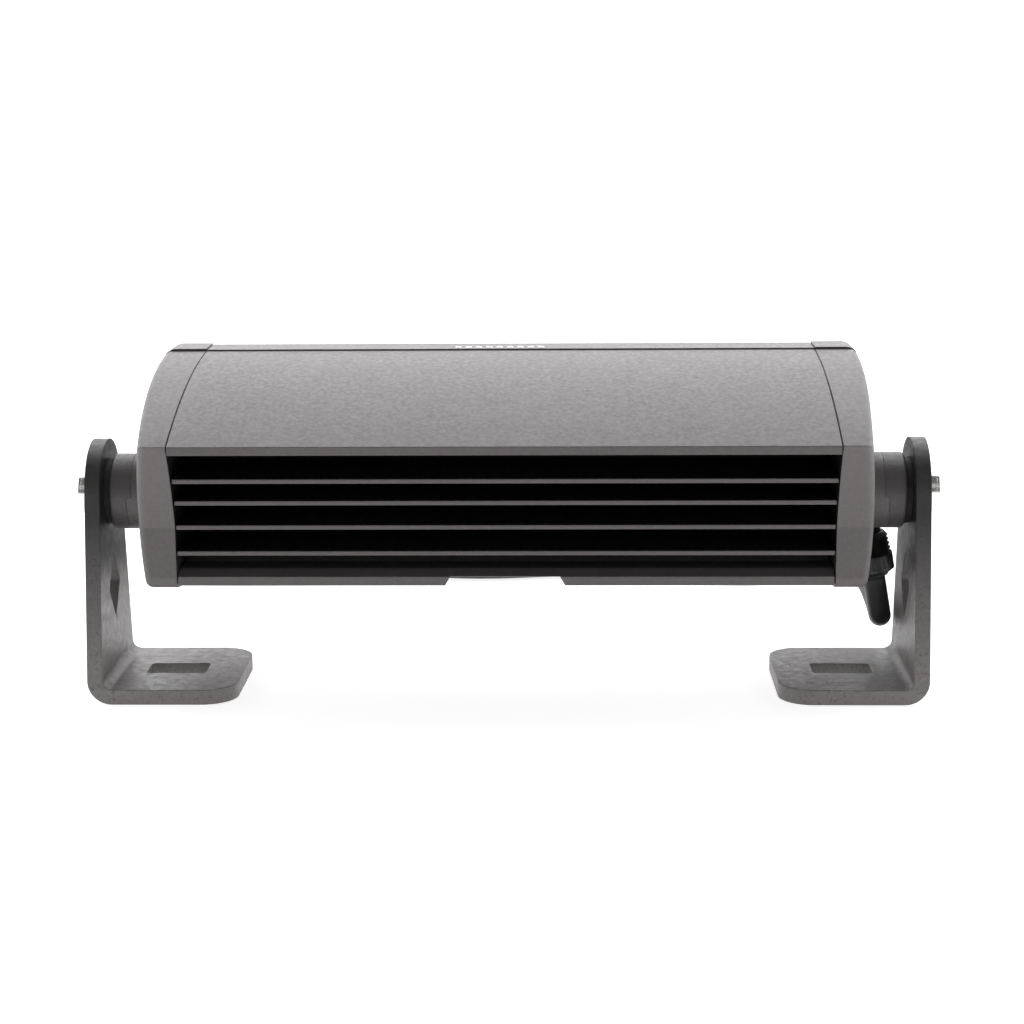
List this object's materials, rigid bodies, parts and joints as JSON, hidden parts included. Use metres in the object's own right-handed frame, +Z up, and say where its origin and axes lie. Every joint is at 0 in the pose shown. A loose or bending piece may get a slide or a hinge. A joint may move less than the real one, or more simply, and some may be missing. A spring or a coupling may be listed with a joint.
{
  "type": "led light bar",
  "caption": "Short work-light bar with a finned metal body, clear front lens, two angle feet with tilt bolts, and a cable lead with a connector.",
  "frame": {"origin": "on the mounting plane under the feet, midway between the two brackets, straight below the tilt axis", "axes": "+X along the bar (to the right seen from behind), +Y the way the beam points, +Z up"},
  "size_m": [0.291, 0.2125, 0.1092],
  "materials": {
    "bezel_coat": "warm grey fine-textured powder coat on aluminium",
    "black_rubber": "matte black rubber",
    "board_green": "green solder mask",
    "board_white": "white solder mask",
    "body_coat": "warm grey fine-textured powder coat on aluminium",
    "bracket_coat": "dark grey sparkle powder coat",
    "cable_black": "satin black cable jacket",
    "capacitor_metal": "drawn aluminium can",
    "component_black": "black epoxy and ferrite",
    "contact_metal": "tin-plated contact",
    "emitter_yellow": "phosphor under a clear dome",
    "gland_nylon": "black nylon",
    "lens_clear": "clear polycarbonate",
    "plug_black": "black moulded plastic",
    "reflector_mirror": "vacuum-metallised plastic",
    "screw_black": "black coated steel",
    "screw_zinc": "zinc-plated steel",
    "seal_orange": "orange silicone",
    "spacer_metal": "grey powder coat on aluminium",
    "stainless": "polished stainless steel",
    "thermal_grey": "grey silicone pad",
    "wedge_orange": "orange moulded plastic",
    "wire_black": "black insulation",
    "wire_red": "red insulation"
  },
  "bodies": {
    "base": {"bracket_left": "bracket_coat", "cable_run": "cable_black", "plug_shell": "plug_black", "plug_seal": "seal_orange", "plug_wedge": "wedge_orange", "plug_contacts": "contact_metal"},
    "lamp": {"bezel_bottom": "bezel_coat", "bezel_screws": "screw_black", "bezel_top": "bezel_coat", "board_link": "wire_black", "board_screws": "screw_zinc", "breather_vent": "gland_nylon", "cable_drop": "cable_black", "driver_board": "board_green", "driver_capacitors": "capacitor_metal", "driver_chips": "component_black", "driver_inductor": "component_black", "driver_screws": "screw_zinc", "end_bezel_left": "bezel_coat", "end_bezel_right": "bezel_coat", "end_cap_gasket_left": "black_rubber", "end_cap_gasket_right": "black_rubber", "end_cap_left": "body_coat", "end_cap_right": "body_coat", "end_cap_screws_left": "screw_black", "end_cap_screws_right": "screw_black", "flat_washer_left": "stainless", "flat_washer_right": "stainless", "friction_washer_left": "black_rubber", "friction_washer_right": "black_rubber", "gland_body": "black_rubber", "gland_nut": "gland_nylon", "gland_seal": "black_rubber", "housing": "body_coat", "lead_black": "wire_black", "lead_red": "wire_red", "led_board": "board_white", "led_emitters": "emitter_yellow", "lens": "lens_clear", "lens_seal": "black_rubber", "pivot_bolt_left": "stainless", "pivot_bolt_right": "stainless", "pivot_spacer_left": "spacer_metal", "pivot_spacer_right": "spacer_metal", "reflector": "reflector_mirror", "spring_washer_left": "stainless", "spring_washer_right": "stainless", "thermal_pad": "thermal_grey"},
    "right_foot": {"bracket_right": "bracket_coat"}
  },
  "joints": [
    {"name": "lamp_tilt", "type": "hinge", "parent": "base", "child": "lamp", "pos_m": [0, 0, 0.0665], "axis": [1, 0, 0], "range_deg": [-30, 60]},
    {"name": "right_foot_turn", "type": "hinge", "parent": "lamp", "child": "right_foot", "pos_m": [0.1354, 0, 0.0665], "axis": [1, 0, 0], "range_deg": [-60, 30]}
  ],
  "couplings": [
    {"joint": "right_foot_turn", "follows": "lamp_tilt", "ratio": -1}
  ]
}
